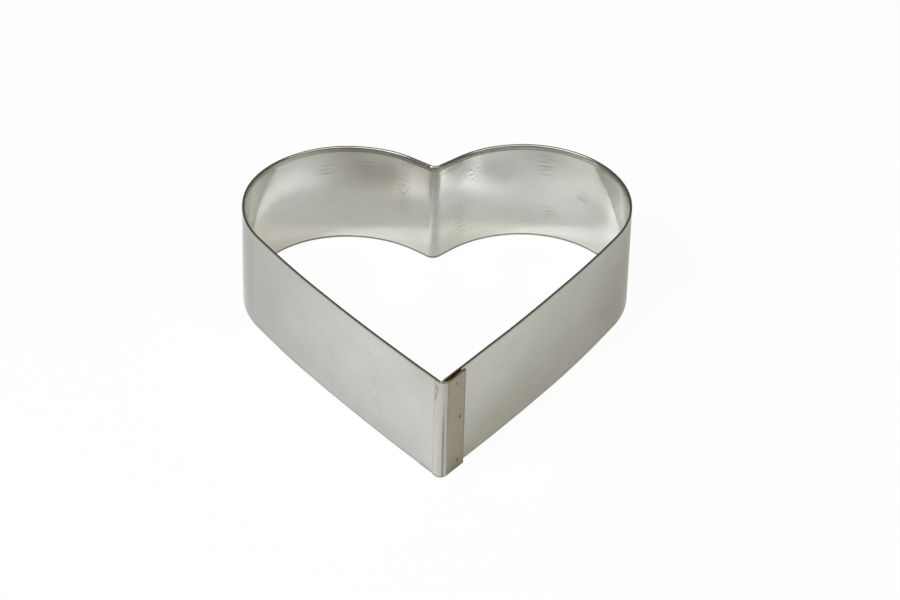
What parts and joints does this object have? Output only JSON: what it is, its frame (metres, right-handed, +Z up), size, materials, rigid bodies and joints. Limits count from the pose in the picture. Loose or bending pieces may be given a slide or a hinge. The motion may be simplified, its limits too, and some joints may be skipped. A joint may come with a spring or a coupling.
{
  "type": "heart cake ring",
  "caption": "Open heart-shaped pastry ring: a stainless strip on edge, bent round a cleft and a tip, closed there by a spot-welded lap; forms and cuts cakes.",
  "frame": {"origin": "centre of the ring's bounding box, on the plane that its lower edge stands on", "axes": "+Z up along the wall, +Y from the tip towards the cleft, +X to the right seen from the tip"},
  "size_m": [0.1382, 0.1394, 0.04],
  "materials": {
    "strip": "bright rolled stainless, lightly scuffed, semi-mirror",
    "weld": "fused steel, heat-tinted and dull"
  },
  "bodies": {
    "root": {"heart_band": "strip", "spot_weld_upper": "weld", "spot_weld_middle": "weld", "spot_weld_lower": "weld"}
  },
  "joints": []
}
